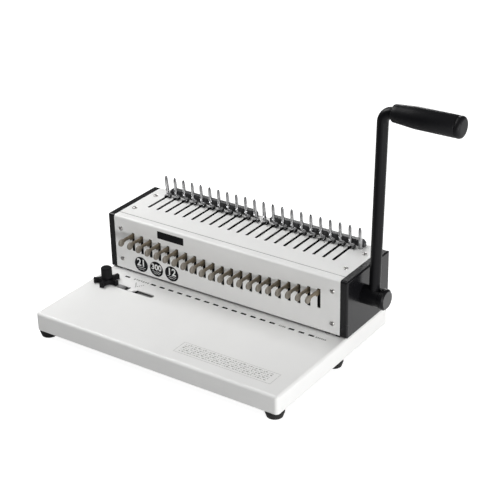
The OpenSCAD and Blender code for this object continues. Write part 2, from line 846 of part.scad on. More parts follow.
module spring_coil() {
    last = len(spring_route) - 1;
    rings = [for (k = [0:last]) let (
        p = spring_route[k],
        out = [p.x, p.y, 0] / norm([p.x, p.y]))
        for (s = [0:spring_sides - 1]) let (
            a = 360 * s / spring_sides,
            side = (k == 0 || k == last) ? [-out.y, out.x, 0] : [0, 0, -1])
            p + spring_wire * (cos(a) * out + sin(a) * side)];
    quads = [for (k = [0:last - 1], s = [0:spring_sides - 1]) let (
        a = k * spring_sides + s,
        b = k * spring_sides + (s + 1) % spring_sides)
        each [[a, b + spring_sides, b], [a, a + spring_sides, b + spring_sides]]];
    start = [for (s = [0:spring_sides - 1]) s];
    finish = [for (s = [spring_sides - 1:-1:0]) last * spring_sides + s];
    polyhedron(points = rings, faces = concat(quads, [start, finish]));
}

echo(str("return spring, gap from coil to coil: ", spring_pitch - 2 * spring_wire, " mm"));

module return_springs() {
    color(bare_steel) for (x = [-spring_x, spring_x]) translate([x, spring_y, 0]) spring_coil();
}

// Shaft and cams

module main_shaft() {
    pin_x = (cam_x + cam_t + rack_x) / 2;
    color(bare_steel) {
        shaft_disc(shaft_r, -panel_half + 2 * gap, hub_x + hub_seat);
        for (x = [-pin_x, pin_x]) translate([x, shaft_back, shaft_z]) cylinder(r = drive_pin_r, h = lug_r);
    }
}

module press_cams() {
    color(dark_steel) both_sides() translate([0, shaft_back, shaft_z]) along_x(cam_x, cam_x + cam_t) difference() {
        union() {
            circle(cam_hub);
            polygon(concat([[0, 0]],
                [for (turn = [-cam_over:cam_facet:pull_angle + cam_over]) cam_point(turn)]));
        }
        circle(shaft_r + seat_fit);
    }
}

// Lever

module lever_hub() {
    edge = 1.2;
    rim = 7;
    color(black_plastic) lever_frame() difference() {
        translate([hub_x, 0, 0]) rotate([0, 90, 0]) rotate_extrude() polygon([[0, 0], [hub_r, 0],
            [hub_r, hub_len - rim - edge], [hub_rim_r, hub_len - rim], [hub_rim_r, hub_len - 2 * edge],
            [hub_rim_r - 2 * edge, hub_len], [0, hub_len]]);
        translate([hub_x - over, 0, 0]) rotate([0, 90, 0]) cylinder(r = shaft_r + seat_fit, h = hub_seat + over);
        translate([arm_x, 0, -arm_seat]) cylinder(r = arm_r + seat_fit, h = 2 * hub_rim_r);
    }
}

module lever_arm() {
    color(black_plastic) lever_frame() {
        translate([arm_x, 0, -arm_seat]) cylinder(r = arm_r, h = arm_len - arm_bend_r + arm_seat);
        translate([arm_x + arm_bend_r, 0, arm_len - arm_bend_r]) rotate([90, 0, 0]) rotate([0, 0, 90])
            rotate_extrude(angle = 90) translate([arm_bend_r, 0]) circle(arm_r);
        translate([arm_x + arm_bend_r, 0, arm_len]) rotate([0, 90, 0])
            cylinder(r = arm_r, h = grip_end - grip_bore_end - arm_x - arm_bend_r);
    }
}

module hand_grip() {
    lip = 1.5;
    round_r = 5;
    color("#141416") lever_frame() translate([grip_x, 0, arm_len]) rotate([0, 90, 0]) difference() {
        rotate_extrude() polygon(concat(
            [[0, 0], [grip_inner_r - lip, 0], [grip_inner_r, lip], [grip_outer_r, grip_flare]],
            [for (a = [0:10:90]) [grip_outer_r, grip_len] - round_r * [1 - cos(a), 1 - sin(a)]],
            [[0, grip_len]]));
        translate([0, 0, -over]) cylinder(r = arm_r + seat_fit, h = grip_len - grip_bore_end + over);
    }
}

// Comb opener

// Toothed sector with a lug that the shaft's drive pin pushes when the lever goes back
module opener_sectors() {
    last_tooth = ceil(push_angle / tooth_angle) + 1;
    lug_arc = 30;
    lug_a1 = 90 - asin(drive_pin_r / shaft_r) - lug_clear;
    lug_a0 = lug_a1 - lug_arc;
    color(bare_steel) both_sides() translate([0, shaft_back, shaft_z]) {
        along_x(rack_x, rack_x + rack_t) difference() {
            union() {
                circle(sector_hub);
                polygon(concat([[0, 0]], [for (i = [-1:last_tooth]) each tooth(i * tooth_angle - 90)]));
            }
            circle(shaft_r + run_fit);
        }
        along_x(cam_x + cam_t + cam_side, rack_x) difference() {
            polygon([polar(shaft_r, lug_a1), polar(lug_r, lug_a1), polar(lug_r, lug_a0), polar(shaft_r, lug_a0)]);
            circle(shaft_r + 2 * gap);
        }
    }
}

// Carriage plate under the top, with a leg and a toothed rack at each side
module hook_carriage() {
    rack_teeth = ceil(hook_travel / tooth_pitch) + 2;
    half_tip = tooth_pitch / 4 - tooth_m * tan(pressure);
    half_root = tooth_pitch / 4 + tooth_root * tan(pressure);
    half_x = side_x - rack_side;
    bar_h = 8;
    color(dark_steel) {
        box([-half_x, carriage_y0, carriage_bottom], [half_x, leg_y1, carriage_top]);
        both_sides() along_x(rack_x, rack_x + rack_t) {
            translate([carriage_y0, carriage_bottom - bar_h]) square([leg_y1 - carriage_y0, bar_h]);
            translate([leg_y0, rack_bottom]) square([leg_y1 - leg_y0, carriage_bottom - rack_bottom]);
            translate([rack_y0, rack_bottom]) square([leg_y1 - rack_y0, limb_h]);
            for (k = [0:rack_teeth]) translate([shaft_back + (k - 0.5) * tooth_pitch, rack_pitch_z])
                polygon([[-half_root, -tooth_root], [half_root, -tooth_root],
                    [half_tip, tooth_m], [-half_tip, tooth_m]]);
        }
    }
}

// Hooks: each rises through its slot and arches to the right, under one ring of the comb
module opener_hooks() {
    arch_r = hook_w / 2;
    arch_z = panel_top + hook_h - arch_r;
    lip = 0.8;
    strip_top = carriage_top + hook_strip_t;
    strip_end = 3;
    strip_front = 6;
    color("gainsboro") {
        difference() {
            box([slot_x(0) - strip_end, hook_y0 - strip_front, carriage_top],
                [slot_x(hole_count - 1) + strip_end, hook_y1, strip_top]);
            for (i = [0:hole_count - 1])
                box([slot_x(i) - hook_t / 2 - seat_fit, hook_y0 - seat_fit, carriage_top - over],
                    [slot_x(i) + hook_t / 2 + seat_fit, hook_y1 + over, strip_top + over]);
        }
        for (i = [0:hole_count - 1]) translate([slot_x(i) - hook_t / 2, 0, 0]) along_y(hook_y0, hook_y1) {
            translate([0, carriage_top]) square([hook_t, arch_z - carriage_top]);
            translate([arch_r, arch_z]) difference() {
                circle(arch_r);
                circle(arch_r - hook_t);
                translate([-hook_w, -2 * hook_w]) square(2 * hook_w);
            }
            translate([hook_w - hook_t, arch_z - lip]) square([hook_t, lip]);
        }
    }
}

// Fixed fingers: stamped tongues, set in a strip below the top plate and bent forward above it
module comb_fingers() {
    strip_end = 0.6;
    strip_rear = 1.3;
    strip_half = finger_x(finger_count - 1) + finger_w / 2 + strip_end;
    strip_y0 = finger_back - finger_t / 2 - finger_hole;
    strip_y1 = frame_y1 - strip_rear;
    strip_z = frame_top - finger_strip_t;
    half = finger_w / 2;
    front = -finger_t / 2;
    tip_z = panel_top + finger_h;
    tip_r = finger_tip_w / 2;
    shoulder_h = 4;
    shoulder = panel_top + shoulder_h;
    bent = (tip_z + over - frame_top) * tan(finger_lean);
    color("gainsboro") {
        difference() {
            box([-strip_half, strip_y0, strip_z], [strip_half, strip_y1, frame_top]);
            for (i = [0:finger_count - 1]) translate([finger_x(i), finger_back, 0])
                box([-half - seat_fit, front - seat_fit, strip_z - over],
                    [half + seat_fit, seat_fit - front, frame_top + over]);
        }
        for (i = [0:finger_count - 1]) translate([finger_x(i), finger_back, 0]) intersection() {
            along_x(-finger_w, finger_w) polygon([[front, strip_z], [-front, strip_z], [-front, frame_top],
                [-front - bent, tip_z + over], [front - bent, tip_z + over], [front, frame_top]]);
            along_y(2 * front - bent, -2 * front)
                polygon(concat([[-half, shoulder], [-half, strip_z - over], [half, strip_z - over], [half, shoulder]],
                    [for (a = [0:15:180]) [tip_r * cos(a), tip_z - tip_r + tip_r * sin(a)]]));
        }
    }
}

// Rail behind the fingers, with sloping ends
module ring_rail() {
    rail_back = 1.9;
    slope = 3.5;
    y0 = finger_back + finger_t / 2 + rail_back;
    color(black_plastic) along_y(y0, y0 + rail_t) translate([rail_gap / 2, panel_top])
        polygon([[0, 0], [rail_len, 0], [rail_len, rail_h - slope], [rail_len - slope, rail_h],
            [slope, rail_h], [0, rail_h - slope]]);
}

module left_ring_rail() translate([rail_shift, 0, 0]) mirror([1, 0, 0]) ring_rail();
module right_ring_rail() translate([rail_shift, 0, 0]) ring_rail();

// Waste drawer

module waste_drawer() {
    y1 = base_y1;
    pull_half = 30;
    color("#3a3a3d") difference() {
        box([-drawer_half, drawer_y0, drawer_z0], [drawer_half, y1, drawer_z1]);
        box([-drawer_half + drawer_wall, drawer_y0 + drawer_wall, drawer_z0 + drawer_wall],
            [drawer_half - drawer_wall, y1 - 3 * drawer_wall, drawer_z1 + over]);
        box([-pull_half, y1 - 2 * drawer_wall, drawer_z0 - over],
            [pull_half, y1 + over, drawer_z1 - 2 * drawer_wall]);
    }
}

// Angle strips that carry the drawer, hung from the die and the base
module drawer_runners() {
    x0 = drawer_half + gap;
    y1 = base_y1 - flange_w - gap;
    z0 = drawer_z0 - gap - runner_floor;
    color(bare_steel) both_sides() {
        box([x0, die_y0, z0], [x0 + runner_t, y1, base_under]);
        box([x0 - runner_ledge, die_y0, z0], [x0, y1, drawer_z0 - gap]);
    }
}

// Edge guide

// Channel hung below the guide slot, that the keel of the slider runs in
module guide_channel() {
    half = keel_half + channel_clear;
    low = base_under - gap - slider_keel - channel_clear;
    color(black_plastic) translate([0, -guide_front, 0]) along_x(guide_x0 - channel_end, guide_x1 + channel_end) {
        translate([-half, low - channel_wall]) square([2 * half, channel_wall]);
        for (y = [-half - channel_wall, half])
            translate([y, low - channel_wall]) square([channel_wall, base_under - low + channel_wall]);
    }
}

// Slider: a keel below the base with a tongue that fills the slot
module guide_slider() {
    tongue_in = 3;
    tongue_x1 = slider_x1 - pointer_len - slider_gap;
    color("#8d8f92") {
        box([slider_x0, -guide_front - keel_half, base_under - gap - slider_keel],
            [slider_x1, -guide_front + keel_half, base_under - gap]);
        box([slider_x0 + tongue_in, -guide_front - slider_w / 2, base_under - gap],
            [tongue_x1, -guide_front + slider_w / 2, slider_top]);
    }
}

module guide_pointer() {
    slant = slider_w * 0.6;
    x0 = slider_x1 - pointer_len;
    color(white_paint) translate([0, -guide_front, base_under - gap]) linear_extrude(slider_top - base_under + gap)
        polygon([[x0, -slider_w / 2], [slider_x1 - slant, -slider_w / 2],
            [slider_x1, slider_w / 2], [x0, slider_w / 2]]);
}

// Star-shaped stop with hollow flanks and the stud of the knob
module guide_stop() {
    flank_r = star_r * 0.442;
    flank_at = star_r * 0.94;
    stud_h = knob_h - knob_top - over;
    color(black_plastic) translate([star_x, -guide_front, slider_top]) {
        linear_extrude(star_h) difference() {
            circle(star_r);
            for (k = [0:star_lobes - 1]) rotate(star_turn + (k + 0.5) * 360 / star_lobes)
                translate([flank_at, 0]) circle(flank_r);
        }
        translate([0, 0, star_h]) cylinder(r = stud_r, h = stud_h);
    }
}

module guide_knob() {
    edge = 1.2;
    color(black_plastic) translate([star_x, -guide_front, slider_top + star_h + gap]) rotate_extrude()
        polygon([[stud_r + run_fit, 0], [knob_r, 0], [knob_r, knob_h - edge], [knob_r - edge, knob_h],
            [0, knob_h], [0, knob_h - knob_top], [stud_r + run_fit, knob_h - knob_top]]);
}

// Every piece is drawn about the middle of the housing's front and moved to the part's origin
module place() {
    translate(-origin) children();
}

place() base_plate();
place() feet();
place() foot_screws();
place() left_side_plate();
place() right_side_plate();
place() left_side_cover();
place() right_side_cover();
place() front_panel();
place() top_plate();
place() back_panel();
place() panel_screws();
place() die_plate();
place() guide_plate();
place() throat_spacer();
place() guide_posts();
place() comb_fingers();
place() left_ring_rail();
place() right_ring_rail();
place() shaft_bushes();
place() tie_bar();
place() drawer_runners();
place() guide_channel();
place() main_shaft();
place() press_cams();
place() lever_hub();
place() lever_arm();
place() hand_grip();
place() opener_sectors();
place() hook_carriage();
place() opener_hooks();
place() punch_bar();
place() punch_pins();
place() return_springs();
place() waste_drawer();
place() guide_slider();
place() guide_pointer();
place() guide_stop();
place() guide_knob();
place() pull_tab(0);  // pull_tab_01
place() pull_tab(1);  // pull_tab_02
place() pull_tab(2);  // pull_tab_03
place() pull_tab(3);  // pull_tab_04
place() pull_tab(4);  // pull_tab_05
place() pull_tab(5);  // pull_tab_06
place() pull_tab(6);  // pull_tab_07
place() pull_tab(7);  // pull_tab_08
place() pull_tab(8);  // pull_tab_09
place() pull_tab(9);  // pull_tab_10
place() pull_tab(10);  // pull_tab_11
place() pull_tab(11);  // pull_tab_12
place() pull_tab(12);  // pull_tab_13
place() pull_tab(13);  // pull_tab_14
place() pull_tab(14);  // pull_tab_15
place() pull_tab(15);  // pull_tab_16
place() pull_tab(16);  // pull_tab_17
place() pull_tab(17);  // pull_tab_18
place() pull_tab(18);  // pull_tab_19
place() pull_tab(19);  // pull_tab_20
place() pull_tab(20);  // pull_tab_21
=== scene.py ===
# Ring binding machine in a plain studio
import math

import bmesh
import bpy
from mathutils import Matrix, Vector


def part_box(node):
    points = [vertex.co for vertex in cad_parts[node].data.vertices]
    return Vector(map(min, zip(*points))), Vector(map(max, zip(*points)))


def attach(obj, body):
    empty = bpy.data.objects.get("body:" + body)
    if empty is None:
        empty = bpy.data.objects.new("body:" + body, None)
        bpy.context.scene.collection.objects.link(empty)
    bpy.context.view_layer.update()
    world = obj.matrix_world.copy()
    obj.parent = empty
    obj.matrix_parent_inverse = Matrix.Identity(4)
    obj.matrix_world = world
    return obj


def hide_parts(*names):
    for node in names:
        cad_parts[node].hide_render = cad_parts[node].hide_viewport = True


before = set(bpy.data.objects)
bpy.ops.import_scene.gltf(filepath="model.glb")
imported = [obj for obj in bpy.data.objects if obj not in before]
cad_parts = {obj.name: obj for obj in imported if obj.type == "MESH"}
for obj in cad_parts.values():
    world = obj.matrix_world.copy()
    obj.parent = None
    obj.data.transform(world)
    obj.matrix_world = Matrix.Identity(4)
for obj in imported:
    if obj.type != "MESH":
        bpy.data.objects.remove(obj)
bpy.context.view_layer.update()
# One millimetre in the metres of the scene
mm = 0.001

# Base plate
# A shallow tray folded from one steel sheet and powder coated white, with the fine orange peel
# of a baked coat. The housing stands on its rear half, and the rubber feet are screwed below it.
panel_low, panel_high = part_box("front_panel")
row_middle = (panel_low.x + panel_high.x) / 2
front_face = panel_low.y
mix_factor, mix_first, mix_second, mix_result = 0, 6, 7, 2
bevel_samples = 4
coat_edge = 0.4 * mm
coat_relief = 0.6


def at(x, y, z):
    # Millimetres from the middle of the housing's front face, and up from the desk
    return Vector((row_middle + x * mm, front_face + y * mm, z * mm))


def node(tree, kind, values=None, **options):
    # A new shader node with its options set, and its inputs filled by name or number
    made = tree.nodes.new(kind)
    for option, value in options.items():
        setattr(made, option, value)
    for socket, value in (values or {}).items():
        made.inputs[socket].default_value = value
    return made


def node_group(name, sockets):
    # A node group with the given (name, side, type) sockets, with its entry and its exit
    group = bpy.data.node_groups.new(name, "ShaderNodeTree")
    for socket, side, kind in sockets:
        group.interface.new_socket(socket, in_out=side, socket_type=kind)
    return group, node(group, "NodeGroupInput"), node(group, "NodeGroupOutput")


surface_skin, skin_in, skin_out = node_group("surface_skin", (
    ("Grain Scale", "INPUT", "NodeSocketFloat"),
    ("Patch Scale", "INPUT", "NodeSocketFloat"),
    ("Grain", "OUTPUT", "NodeSocketFloat"),
    ("Patch", "OUTPUT", "NodeSocketFloat"),
))
skin_place = node(surface_skin, "ShaderNodeTexCoord")
grain_noise = node(surface_skin, "ShaderNodeTexNoise", {"Detail": 2.0})
patch_noise = node(surface_skin, "ShaderNodeTexNoise", {"Detail": 4.0, "Roughness": 0.6})
patch_range = node(surface_skin, "ShaderNodeMapRange", {"From Min": 0.3, "From Max": 0.7})
surface_skin.links.new(skin_place.outputs["Object"], grain_noise.inputs["Vector"])
surface_skin.links.new(skin_place.outputs["Object"], patch_noise.inputs["Vector"])
surface_skin.links.new(skin_in.outputs["Grain Scale"], grain_noise.inputs["Scale"])
surface_skin.links.new(skin_in.outputs["Patch Scale"], patch_noise.inputs["Scale"])
surface_skin.links.new(patch_noise.outputs["Fac"], patch_range.inputs["Value"])
surface_skin.links.new(grain_noise.outputs["Fac"], skin_out.inputs["Grain"])
surface_skin.links.new(patch_range.outputs["Result"], skin_out.inputs["Patch"])


def textured(name, group, settings, varies, raises, pale, deep, rough, relief, depth, edge):
    # A material with softened edges: its shade and roughness follow one output of a node group, and its
    # relief follows another
    made = bpy.data.materials.new(name)
    made.use_nodes = True
    tree = made.node_tree
    shader = tree.nodes["Principled BSDF"]
    pattern = node(tree, "ShaderNodeGroup", settings, node_tree=group)
    shade = node(tree, "ShaderNodeMix", {mix_first: (*deep, 1), mix_second: (*pale, 1)}, data_type="RGBA")
    gloss = node(tree, "ShaderNodeMapRange", {"To Min": rough[0], "To Max": rough[1]})
    soft_edge = node(tree, "ShaderNodeBevel", {"Radius": edge}, samples=bevel_samples)
    bump = node(tree, "ShaderNodeBump", {"Strength": relief, "Distance": depth})
    tree.links.new(pattern.outputs[varies], shade.inputs[mix_factor])
    tree.links.new(shade.outputs[mix_result], shader.inputs["Base Color"])
    tree.links.new(pattern.outputs[varies], gloss.inputs["Value"])
    tree.links.new(gloss.outputs["Result"], shader.inputs["Roughness"])
    tree.links.new(pattern.outputs[raises], bump.inputs["Height"])
    tree.links.new(soft_edge.outputs["Normal"], bump.inputs["Normal"])
    tree.links.new(bump.outputs["Normal"], shader.inputs["Normal"])
    return made


def finish(name, pale, deep, rough, grain, depth, patch=14.0, specular=0.5):
    # A coat, ink or plastic that shifts between two close shades and roughnesses, over a fine grain
    settings = {"Grain Scale": grain, "Patch Scale": patch}
    made = textured(name, surface_skin, settings, "Patch", "Grain", pale, deep, rough, coat_relief, depth,
                    coat_edge)
    made.node_tree.nodes["Principled BSDF"].inputs["Specular IOR Level"].default_value = specular
    return made


def dress(made, *nodes):
    # Puts a material on CAD nodes
    for name in nodes:
        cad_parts[name].material_slots[0].material = made


white_coat = finish("white_powder_coat", pale=(0.85, 0.85, 0.84), deep=(0.825, 0.825, 0.815),
                    rough=(0.38, 0.46), grain=620.0, depth=0.02 * mm)
dress(white_coat, "base_plate")

# Marks printed on the base
# Screen-printed ink: a row of black dashes in line with the holes, a faint ruled chart near the front
# edge, and a few faint setting marks beside the edge guide and at the right end of the row.
table_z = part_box("base_plate")[1].z / mm
hole_pitch = 14.2875
hole_count = 21
mark_cut = 0.1


def skin(shape, rings):
    # Closes a stack of rings, all with the same number of points, into a solid
    for near, far in zip(rings, rings[1:]):
        for k in range(len(near)):
            other = (k + 1) % len(near)
            shape.faces.new((near[k], near[other], far[other], far[k]))
    shape.faces.new(rings[0][::-1])
    shape.faces.new(rings[-1])


def mesh_of(name, shape):
    # Turns a finished shape into a mesh, with its faces outwards
    bmesh.ops.recalc_face_normals(shape, faces=shape.faces)
    mesh = bpy.data.meshes.new(name)
    shape.to_mesh(mesh)
    shape.free()
    return mesh


def in_scene(name, data):
    # A new object in the scene
    made = bpy.data.objects.new(name, data)
    bpy.context.scene.collection.objects.link(made)
    return made


def printed(name, outlines, lay, made, body, slot, low=-0.05, high=0.08):
    # Thin islands of ink, each a closed outline given in the printed face's own two directions
    shape = bmesh.new()
    for outline in outlines:
        skin(shape, [[shape.verts.new(lay(u, v, level)) for u, v in outline] for level in (low, high)])
    mesh = mesh_of(name, shape)
    mesh.materials.append(made)
    piece = in_scene(name, mesh)
    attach(piece, body)


def bar(u0, v0, u1, v1, cut):
    # Outline of an upright rectangle with cut corners
    return [(u0 + cut, v0), (u1 - cut, v0), (u1, v0 + cut), (u1, v1 - cut), (u1 - cut, v1), (u0 + cut, v1),
            (u0, v1 - cut), (u0, v0 + cut)]


def on_table(u, v, h):
    # A place on the base: along the row, behind the housing's front face and above the base
    return at(u, v, table_z + h)


def ink(name, pale, deep, patch=14.0, specular=0.5):
    # A thin, matt print
    return finish(name, pale, deep, (0.5, 0.6), 1500.0, 0.008 * mm, patch, specular)


black_ink = ink("black_ink", (0.012, 0.012, 0.013), (0.008, 0.008, 0.009), specular=0.08)
faint_ink = ink("faint_ink", (0.42, 0.42, 0.4), (0.3, 0.3, 0.285), patch=240.0)
mark_ink = ink("mark_ink", (0.34, 0.34, 0.33), (0.2, 0.2, 0.19), patch=300.0)

# One dash for each hole, but for the holes where other marks stand
dash_long_half = 3.9
dash_wide_half = 1.6
dash_cut = 0.25
dash_y = -14.0
dash_shift = -1.5
dash_gaps = (1, 2, 17)
dashes = []
for number in range(hole_count):
    middle = (number - (hole_count - 1) / 2) * hole_pitch + dash_shift
    if number not in dash_gaps:
        dashes.append(bar(middle - dash_long_half, dash_y - dash_wide_half,
                          middle + dash_long_half, dash_y + dash_wide_half, dash_cut))
printed("row_dashes", dashes, on_table, black_ink, "frame", "black_paint")

# The chart: a ruled frame round lines of short marks, whose lengths, heights and gaps vary in a fixed order
chart_x0, chart_x1 = 20.5, 159.5
chart_y0, chart_y1 = -133.0, -109.0
chart_lines = 5
rule = 0.35
rule_cut = 0.05
first_line = 4.6
line_step = 3.9
line_begin = 5
line_end = 8
mark_short, mark_longer = 1.4, 1.9
mark_low, mark_taller = 0.7, 0.6
mark_gap, mark_wider_gap = 1.1, 0.8
chart = [
    bar(chart_x0, chart_y0, chart_x1, chart_y0 + rule, rule_cut),
    bar(chart_x0, chart_y1 - rule, chart_x1, chart_y1, rule_cut),
    bar(chart_x0, chart_y0 + rule, chart_x0 + rule, chart_y1 - rule, rule_cut),
    bar(chart_x1 - rule, chart_y0 + rule, chart_x1, chart_y1 - rule, rule_cut),
]
for line in range(chart_lines):
    mark_x = chart_x0 + line_begin
    mark_y = chart_y1 - first_line - line * line_step
    step = 0
    while mark_x < chart_x1 - line_end:
        length = mark_short + mark_longer * ((step * 7 + line * 5) % 6) / 5
        height = mark_low + mark_taller * ((step + line) % 3)
        chart.append(bar(mark_x, mark_y, mark_x + length, mark_y + height, mark_cut))
        mark_x += length + mark_gap + mark_wider_gap * ((step * 3 + line) % 4 == 0)
        step += 1
printed("printed_chart", chart, on_table, faint_ink, "frame", "black_paint")

# Rows of setting marks: how many, the first one's place, the pitch, the width, the lower and the upper end,
# and how far every other mark's lower and upper end is moved. An arrow head of dots stands before them.
mark_rows = (
    (7, -133.0, 3.6, 2.0, (-16.0, -12.6), (0.8, 0.0)),
    (4, 94.5, 2.6, 1.7, (-15.6, -12.6), (0.0, -0.5)),
    (6, 148.0, 2.5, 1.7, (-15.8, -12.8), (0.4, 0.0)),
)
arrow_x, arrow_y = -118.0, -31.5
arrow_dots = 5
arrow_step = (1.5, 2.2)
dot_half_wide = 0.7
dot_height = 1.5
setting_marks = []
for count, first, pitch, wide, ends, moved in mark_rows:
    for step in range(count):
        mark_x = first + step * pitch
        low, high = (end + shift * (step % 2) for end, shift in zip(ends, moved))
        setting_marks.append(bar(mark_x, low, mark_x + wide, high, mark_cut))
for turn in (-1, 1):
    for step in range(arrow_dots):
        near = arrow_x + turn * step * arrow_step[0]
        low = arrow_y + step * arrow_step[1]
        setting_marks.append(bar(near - dot_half_wide, low, near + dot_half_wide, low + dot_height, mark_cut))
printed("setting_marks", setting_marks, on_table, mark_ink, "frame", "black_paint")

# Feet
# Six black rubber feet, moulded with a slight taper and screwed to the turned-in flange of the base.
# Their screws are ground steel.
metal_relief = 0.5
steel_brush, brush_in, brush_out = node_group("brush_lines", (
    ("Stretch", "INPUT", "NodeSocketVector"),
    ("Lines", "OUTPUT", "NodeSocketFloat"),
))
brush_place = node(steel_brush, "ShaderNodeTexCoord")
brush_stretch = node(steel_brush, "ShaderNodeVectorMath", operation="MULTIPLY")
brush_noise = node(steel_brush, "ShaderNodeTexNoise", {"Scale": 1.0, "Detail": 3.0})
brush_range = node(steel_brush, "ShaderNodeMapRange", {"From Min": 0.28, "From Max": 0.72})
steel_brush.links.new(brush_place.outputs["Object"], brush_stretch.inputs[0])
steel_brush.links.new(brush_in.outputs["Stretch"], brush_stretch.inputs[1])
steel_brush.links.new(brush_stretch.outputs["Vector"], brush_noise.inputs["Vector"])
steel_brush.links.new(brush_noise.outputs["Fac"], brush_range.inputs["Value"])
steel_brush.links.new(brush_range.outputs["Result"], brush_out.inputs["Lines"])


def metal(name, pale, deep, rough, stretch, depth, edge=0.3 * mm, metallic=1.0):
    # Bare metal with the fine lines that grinding, rolling or stamping leave in it
    made = textured(name, steel_brush, {"Stretch": stretch}, "Lines", "Lines", pale, deep, rough,
                    metal_relief, depth, edge)
    made.node_tree.nodes["Principled BSDF"].inputs["Metallic"].default_value = metallic
    return made


rubber = finish("foot_rubber", pale=(0.016, 0.016, 0.016), deep=(0.01, 0.01, 0.01), rough=(0.6, 0.75),
                grain=1400.0, depth=0.03 * mm, specular=0.25)
bright_steel = metal("ground_steel", pale=(0.62, 0.62, 0.62), deep=(0.52, 0.52, 0.53), rough=(0.26, 0.38),
                     stretch=(60, 900, 900), depth=0.006 * mm)
dress(rubber, "feet")
dress(bright_steel, "foot_screws")

# Dies, chip drawer and its runners
# Two blackened steel dies with a slit between them for the sheets, over a black moulded drawer that
# catches the punched chips and slides out at the back on two bent steel strips.
drawer_plastic = finish("drawer_plastic", pale=(0.065, 0.065, 0.07), deep=(0.05, 0.05, 0.055),
                        rough=(0.42, 0.55), grain=1100.0, depth=0.03 * mm)
dark_steel = metal("blackened_steel", pale=(0.075, 0.075, 0.08), deep=(0.05, 0.05, 0.054),
                   rough=(0.36, 0.5), stretch=(500, 60, 500), depth=0.006 * mm)
dress(dark_steel, "die_plate", "guide_plate", "throat_spacer")
dress(bright_steel, "guide_posts", "drawer_runners")
dress(drawer_plastic, "waste_drawer")

# Frame plates
# Two blackened steel plates with turned-in ears carry everything: the shaft in brass bushes,
# a round tie bar between them, and the white panels on their ears.
turned_brass = metal("turned_brass", pale=(0.72, 0.57, 0.3), deep=(0.62, 0.48, 0.24), rough=(0.22, 0.34),
                     stretch=(1200, 90, 90), depth=0.004 * mm)
dress(dark_steel, "left_side_plate", "right_side_plate")
dress(bright_steel, "tie_bar")
dress(turned_brass, "shaft_bushes")

# White panels
# The front panel, bent over the top edge, the slotted top plate and the plain back panel, folded
# from sheet and powder coated like the base. Their insides and the slots' walls are painted near black:
# painted shade.
panel_top = panel_high.z / mm
back_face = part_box("back_panel")[1].y
painted_shade_depth = 0.3 * mm
back_painted_shade_depth = 0.9 * mm
bend_depth = 4 * mm
seam_shadow_begin, seam_shadow_end = 1.4 * mm, 0.8 * mm


def overlay(made, colour):
    # Lays a second colour over a finish, and gives its node tree, the axes for a mask and the mask's entry
    tree = made.node_tree
    shader = tree.nodes["Principled BSDF"]
    shade = shader.inputs["Base Color"].links[0].from_socket
    place = node(tree, "ShaderNodeTexCoord")
    axes = node(tree, "ShaderNodeSeparateXYZ")
    blend = node(tree, "ShaderNodeMix", {mix_second: (*colour, 1)}, data_type="RGBA")
    tree.links.new(place.outputs["Object"], axes.inputs["Vector"])
    tree.links.new(shade, blend.inputs[mix_first])
    tree.links.new(blend.outputs[mix_result], shader.inputs["Base Color"])
    return tree, axes, blend.inputs[mix_factor]


def coated(name, *limits):
    # The white coat outside, painted near black where every limit (axis, test, level) holds: painted shade
    # for the panels' insides and the slots' walls
    made = finish(name, pale=(0.84, 0.84, 0.83), deep=(0.815, 0.815, 0.805), rough=(0.4, 0.48),
                  grain=640.0, depth=0.018 * mm)
    tree, axes, mask = overlay(made, (0.016, 0.016, 0.017))
    inside = None
    for axis, test, level in limits:
        side = node(tree, "ShaderNodeMath", {1: level}, operation=test)
        both = node(tree, "ShaderNodeMath", {0: 1.0}, operation="MULTIPLY")
        tree.links.new(axes.outputs[axis], side.inputs[0])
        tree.links.new(side.outputs["Value"], both.inputs[1])
        if inside is not None:
            tree.links.new(inside, both.inputs[0])
        inside = both.outputs["Value"]
    tree.links.new(inside, mask)
    return made


def shaded(made, axis, begin, end, colour):
    # Fades the finish to another colour along one axis, from none at the first level to all at the second
    tree, axes, mask = overlay(made, colour)
    fade = node(tree, "ShaderNodeMapRange", {"From Min": begin, "From Max": end})
    tree.links.new(axes.outputs[axis], fade.inputs["Value"])
    tree.links.new(fade.outputs["Result"], mask)


# White coats with painted shade on the panels' insides and the slots' walls
front_coat = coated("white_front_coat", ("Y", "GREATER_THAN", front_face + painted_shade_depth),
                    ("Z", "LESS_THAN", panel_high.z - bend_depth))
top_coat = coated("white_top_coat", ("Z", "LESS_THAN", panel_high.z - painted_shade_depth))
back_coat = coated("white_back_coat", ("Y", "LESS_THAN", back_face - back_painted_shade_depth))
# A painted shadow line on the top plate along its seam with the front panel's bend
shaded(top_coat, "Y", panel_high.y + seam_shadow_begin, panel_high.y + seam_shadow_end, (0.2, 0.2, 0.2))
dress(front_coat, "front_panel")
dress(top_coat, "top_plate")
dress(back_coat, "back_panel")

# Panel screws
# Nickel-plated pan heads with a cross recess: four in the front, four on the top and four at the back.
# Each was left at its own turn when it was driven home.
screw_x = 162.375
screw_rows = (49.6, 94.0)
screw_depths = (30.5, 75.7)
head_r = 3.2
head_sides = 32
tall_height, flat_height = 1.8, 1.35
shank_r, shank_end = 1.6, -0.6
dome = ((1, 0), (1, 0.35), (0.94, 0.62), (0.78, 0.86), (0.5, 0.98), (0, 1))
recess_long, recess_short = 1.9, 0.42
recess_taper = 0.45
recess_floor = 0.25
recess_over = 0.5
turn_step = 0.7
screw_crease = 32
pole_r = 1e-6


